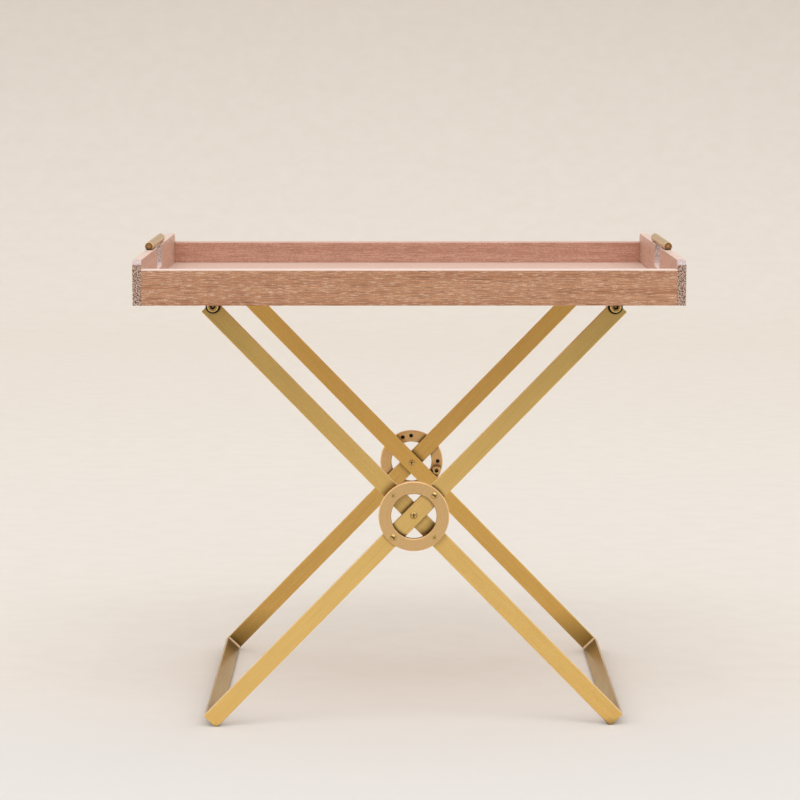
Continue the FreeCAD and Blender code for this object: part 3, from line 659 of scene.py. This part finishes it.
# %% Pale paper for the sweep
COOL_FLOOR_FROM = -0.35
COOL_FLOOR_TO = 0.05
PALE_FLOOR_FROM = -2.7
GREY_FLOOR_FROM = -3.7
DARK_FLOOR_FROM = -9.0
WARM_PAPER = [(0.3, "EBE4DB"), (0.7, "EEE7DF")]
COOL_PAPER = "E6E3DF"
PAINTED_SHADE_GREY = "7D7872"
PAINTED_SHADE_DARK = "55524F"

paper_finish, tree, shader = new_finish("pale_backdrop_paper")
where = put(tree, "TexCoord")["Object"]
mottle = grain_pattern(tree, where, "X", length_mm=60, width_mm=40, detail=3, shift=0.0)
tone = put(tree, "ValToRGB", {"Fac": mottle}, WARM_PAPER)["Color"]
forward = put(tree, "SeparateXYZ", {"Vector": where})["Y"]
cool = put(tree, "MapRange", {"Value": forward, "From Min": COOL_FLOOR_FROM, "From Max": COOL_FLOOR_TO,
                              "To Min": 1.0, "To Max": 0.0})["Result"]
grey = put(tree, "MapRange", {"Value": forward, "From Min": GREY_FLOOR_FROM, "From Max": PALE_FLOOR_FROM,
                              "To Min": 1.0, "To Max": 0.0})["Result"]
dark = put(tree, "MapRange", {"Value": forward, "From Min": DARK_FLOOR_FROM, "From Max": GREY_FLOOR_FROM,
                              "To Min": 1.0, "To Max": 0.0})["Result"]
tone = put(tree, "Mix", {SHARE: cool, UNDER: tone, OVER: linear(COOL_PAPER)}, data_type="RGBA")[BLEND]
# Past the lit sheet the paper is painted grey and then dark: painted shade.
unlit = put(tree, "Mix", {SHARE: dark, UNDER: linear(PAINTED_SHADE_GREY), OVER: linear(PAINTED_SHADE_DARK)},
            data_type="RGBA")[BLEND]
tone = put(tree, "Mix", {SHARE: grey, UNDER: tone, OVER: unlit}, data_type="RGBA")[BLEND]
tree.links.new(tone, shader["Base Color"])
shader["Roughness"].default_value = 0.9
shader["Specular IOR Level"].default_value = 0.1
paper.data.materials.append(paper_finish)
print(paper_finish.name, "is pale from", PALE_FLOOR_FROM, "m to the wall")

# %% [markdown]
# Two lamps: a softbox in the roof, in front of the table and leaning a little towards it, and a weak warm
# strip that brightens the paper behind. A spot would draw hard shadows. Large area lamps keep them soft,
# as in a catalogue picture.

# %% Lamps
def softbox(name, place, turn_degrees, width, depth, watts, colour):
    """An area lamp that faces down, turned about X."""
    lamp = bpy.data.lights.new(name, "AREA")
    lamp.shape = "RECTANGLE"
    lamp.size = width
    lamp.size_y = depth
    lamp.energy = watts
    lamp.color = linear(colour)[:3]
    holder = bpy.data.objects.new(name, lamp)
    holder.location = place
    holder.rotation_euler = (radians(turn_degrees), 0, 0)
    bpy.context.scene.collection.objects.link(holder)


softbox("roof_softbox", place=(0, -1.5, 3.8), turn_degrees=8, width=3.6, depth=1.0, watts=20,
        colour="FFFFFF")
softbox("backdrop_strip", place=(0, 2.6, 4.2), turn_degrees=72, width=5.0, depth=0.6, watts=16,
        colour="FFDDB8")
print("lamps:", [lamp.name for lamp in bpy.data.lights])

# %% [markdown]
# The rest of the light comes from the world, which is a bright tent: light from all round keeps the
# shadow under the tray faint. Only the front of the tent is open, and dark near the horizon. The upright
# brass faces mirror that at their tops and the pale floor at their feet, which is what makes the legs fade
# from dark to light. The tent is a little brighter towards the camera than behind the table, and its roof
# is weaker than its sides. A plain world of one colour would leave the metal flat.

# %% A studio tent for the world
TENT_LEVEL = 1.4
OPEN_FRONT_LEVEL = 0.1
FRONT_GAIN = 1.2
BACK_GAIN = 0.75
ROOF_GAIN = 0.66
world = bpy.data.worlds.new("studio_tent")
bpy.context.scene.world = world
world.use_nodes = True
tree = world.node_tree
air = tree.nodes["Background"].inputs
air["Color"].default_value = linear("FFFFFF")
heading = put(tree, "SeparateXYZ", {"Vector": put(tree, "TexCoord")["Generated"]})
behind = put(tree, "MapRange", {"Value": heading["Y"], "From Min": -0.5, "From Max": 0.0})["Result"]
above = put(tree, "MapRange", {"Value": heading["Z"], "From Min": 0.2, "From Max": 0.55})["Result"]
tent = put(tree, "Math", {0: behind, 1: above}, operation="MAXIMUM")["Value"]
level = put(tree, "MapRange", {"Value": tent, "To Min": OPEN_FRONT_LEVEL, "To Max": TENT_LEVEL})["Result"]
lean = put(tree, "MapRange", {"Value": heading["Y"], "From Min": -0.8, "From Max": 0.8, "To Min": FRONT_GAIN,
                              "To Max": BACK_GAIN})["Result"]
roof = put(tree, "MapRange", {"Value": heading["Z"], "From Min": 0.45, "From Max": 0.95, "To Min": 1.0,
                              "To Max": ROOF_GAIN})["Result"]
sides = put(tree, "Math", {0: level, 1: lean}, operation="MULTIPLY")["Value"]
strength = put(tree, "Math", {0: sides, 1: roof}, operation="MULTIPLY")["Value"]
tree.links.new(strength, air["Strength"])
bpy.context.scene.view_settings.view_transform = "Standard"
print("tent level", TENT_LEVEL, "with its front at", OPEN_FRONT_LEVEL)
